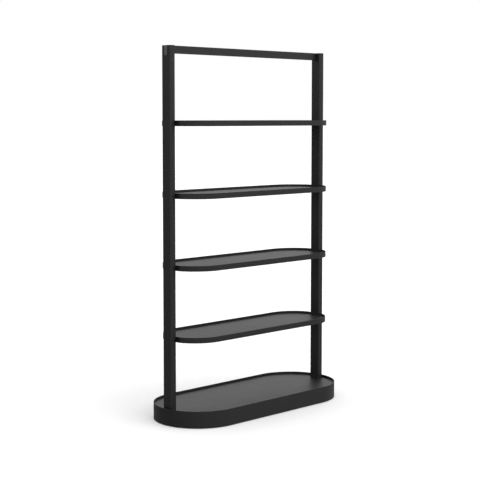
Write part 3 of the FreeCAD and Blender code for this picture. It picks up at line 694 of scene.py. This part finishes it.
def weld_deck_to_skirt(bm):
    """Stitches under the base deck's edge: along its straight sides and round its ends."""
    deck_low, deck_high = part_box("base_deck")
    height = deck_low.z - WELD_DROP
    round_centre = deck_high.x - deck_high.y
    inner = deck_high.y - WELD_DROP
    straight = (Vector((-round_centre, -inner, 0.0)), Vector((round_centre, inner, 0.0)))
    stitch_along_x(bm, straight, height, count=6, length=30 * MM, radius=2.2 * MM)
    for end in (-1, 1):
        for turn in (-60, -30, 0, 30, 60):
            angle = math.radians(turn)
            outward = Vector((end * math.cos(angle), math.sin(angle), 0.0))
            half = Vector((-outward.y, outward.x, 0.0)) * 10 * MM
            middle = Vector((end * round_centre, 0.0, height)) + outward * inner
            add_bead(bm, middle - half, middle + half, 2.2 * MM)


def make_base_welds():
    """Stitches that hold the base's frame together under its deck, and the skirt's seam."""
    bm = bmesh.new()
    under_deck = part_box("base_deck")[0].z - WELD_DROP
    rails = solid_boxes("base_rails")
    for rail in rails:
        stitch_along_x(bm, rail, under_deck, count=7, length=40 * MM, radius=2.2 * MM)
    for low, high in solid_boxes("base_cross_channels"):
        for rail_low, rail_high in rails:
            crossing = (Vector((low.x, rail_low.y, 0.0)), Vector((high.x, rail_high.y, 0.0)))
            stitch_along_y(bm, crossing, high.z, count=1, length=34 * MM, radius=2.4 * MM)
    for rib in solid_boxes("base_ribs"):
        stitch_along_y(bm, rib, under_deck, count=2, length=30 * MM, radius=2.0 * MM)
    for seat in solid_boxes("post_seats"):
        stitch_along_x(bm, seat, seat[0].z, count=2, length=22 * MM, radius=2.4 * MM)
    weld_deck_to_skirt(bm)
    add_back_seam(bm, "base_skirt", 2.2 * MM)
    finish_piece(bm, "base_welds", "frame", "black_powder_coat")


# ---------------------------------------------------------------- studio

FLOOR_SIZE = 400.0
# the surroundings are brighter where this points: to the front, and a little to the right
BRIGHT_SIDE = Vector((0.11, -0.43, 0.0))
# height of a direction, from -1 straight down to 1 straight up, and how bright the surroundings are there
LEVELS = ((-1.0, 0.10), (-0.35, 0.30), (0.0, 0.32), (0.40, 1.46), (1.0, 1.12))
TOP_LEVEL = max(level for height, level in LEVELS)

LENS = 91.29
LENS_SHIFT = -0.06
CAMERA_PLACE = Vector((-4.3769, -4.3805, 1.4881))
CAMERA_HEADING = 44.627
CAMERA_PITCH = 4.413


def make_floor():
    """A wide pale floor that fades into the pale surroundings."""
    mesh = bpy.data.meshes.new("floor")
    half = FLOOR_SIZE / 2
    corners = [(-half, -half, 0), (half, -half, 0), (half, half, 0), (-half, half, 0)]
    mesh.from_pydata(corners, [], [(0, 1, 2, 3)])
    floor = bpy.data.objects.new("floor", mesh)
    bpy.context.scene.collection.objects.link(floor)
    material, tree, shader, place = new_material("pale floor")
    shader.inputs["Roughness"].default_value = 1.0
    shader.inputs["Specular IOR Level"].default_value = 0.0
    shades = mix_colour(tree, noise(tree, place, 1.5), (0.96, 0.96, 0.96), (0.98, 0.98, 0.98))
    tree.links.new(shades, shader.inputs["Base Color"])
    mesh.materials.append(material)
    floor.visible_glossy = False
    floor.visible_shadow = False


def make_surroundings():
    """Soft surroundings that light the unit: dim below, bright above, and plain white to the camera."""
    world = bpy.data.worlds.new("studio")
    bpy.context.scene.world = world
    world.use_nodes = True
    tree = world.node_tree
    background = tree.nodes["Background"]
    background.inputs["Color"].default_value = (1.0, 1.0, 1.0, 1.0)
    direction = tree.nodes.new("ShaderNodeTexCoord").outputs["Generated"]
    split = tree.nodes.new("ShaderNodeSeparateXYZ")
    tree.links.new(direction, split.inputs[0])
    ramp = tree.nodes.new("ShaderNodeValToRGB")
    while len(ramp.color_ramp.elements) < len(LEVELS):
        ramp.color_ramp.elements.new(0.5)
    for element, (height, level) in zip(ramp.color_ramp.elements, LEVELS):
        share = level / TOP_LEVEL
        element.position = (height + 1) / 2
        element.color = (share, share, share, 1.0)
    tree.links.new(remap(tree, split.outputs["Z"], -1.0, 1.0, 0.0, 1.0), ramp.inputs[0])
    toward = tree.nodes.new("ShaderNodeVectorMath")
    toward.operation = "DOT_PRODUCT"
    toward.inputs[1].default_value = BRIGHT_SIDE
    tree.links.new(direction, toward.inputs[0])
    side = remap(tree, toward.outputs["Value"], -1.0, 1.0, 0.0, 2 * TOP_LEVEL)
    lit = math_node(tree, "MULTIPLY", ramp.outputs[0], side)
    seen = tree.nodes.new("ShaderNodeLightPath").outputs["Is Camera Ray"]
    tree.links.new(math_node(tree, "MAXIMUM", lit, seen), background.inputs["Strength"])


def add_camera():
    """The view from the front left, a little above the middle."""
    lens = bpy.data.cameras.new("camera")
    lens.lens = LENS
    lens.shift_y = LENS_SHIFT
    lens.clip_end = FLOOR_SIZE / 2
    camera = bpy.data.objects.new("camera", lens)
    camera.location = CAMERA_PLACE
    tilt = math.radians(90 - CAMERA_PITCH)
    camera.rotation_euler = Euler((tilt, 0, math.radians(-CAMERA_HEADING)))
    bpy.context.scene.collection.objects.link(camera)
    bpy.context.scene.camera = camera


# ---------------------------------------------------------------- the whole unit

finish_nodes()
for level in SHELF_LEVELS:
    make_screws(f"shelf_{level}_screws", away=1)
    make_shelf_welds(level)
make_screws("crossbar_screws", away=-1)
make_rivet_nuts("shelf_rivet_nuts")
make_post_bolts("post_bolts")
make_leveller_nuts("leveller_nuts")
for corner in CORNERS:
    make_stem(corner)
    make_pad(corner)
make_base_welds()

make_floor()
make_surroundings()
add_camera()
bpy.context.scene.view_settings.view_transform = "Standard"
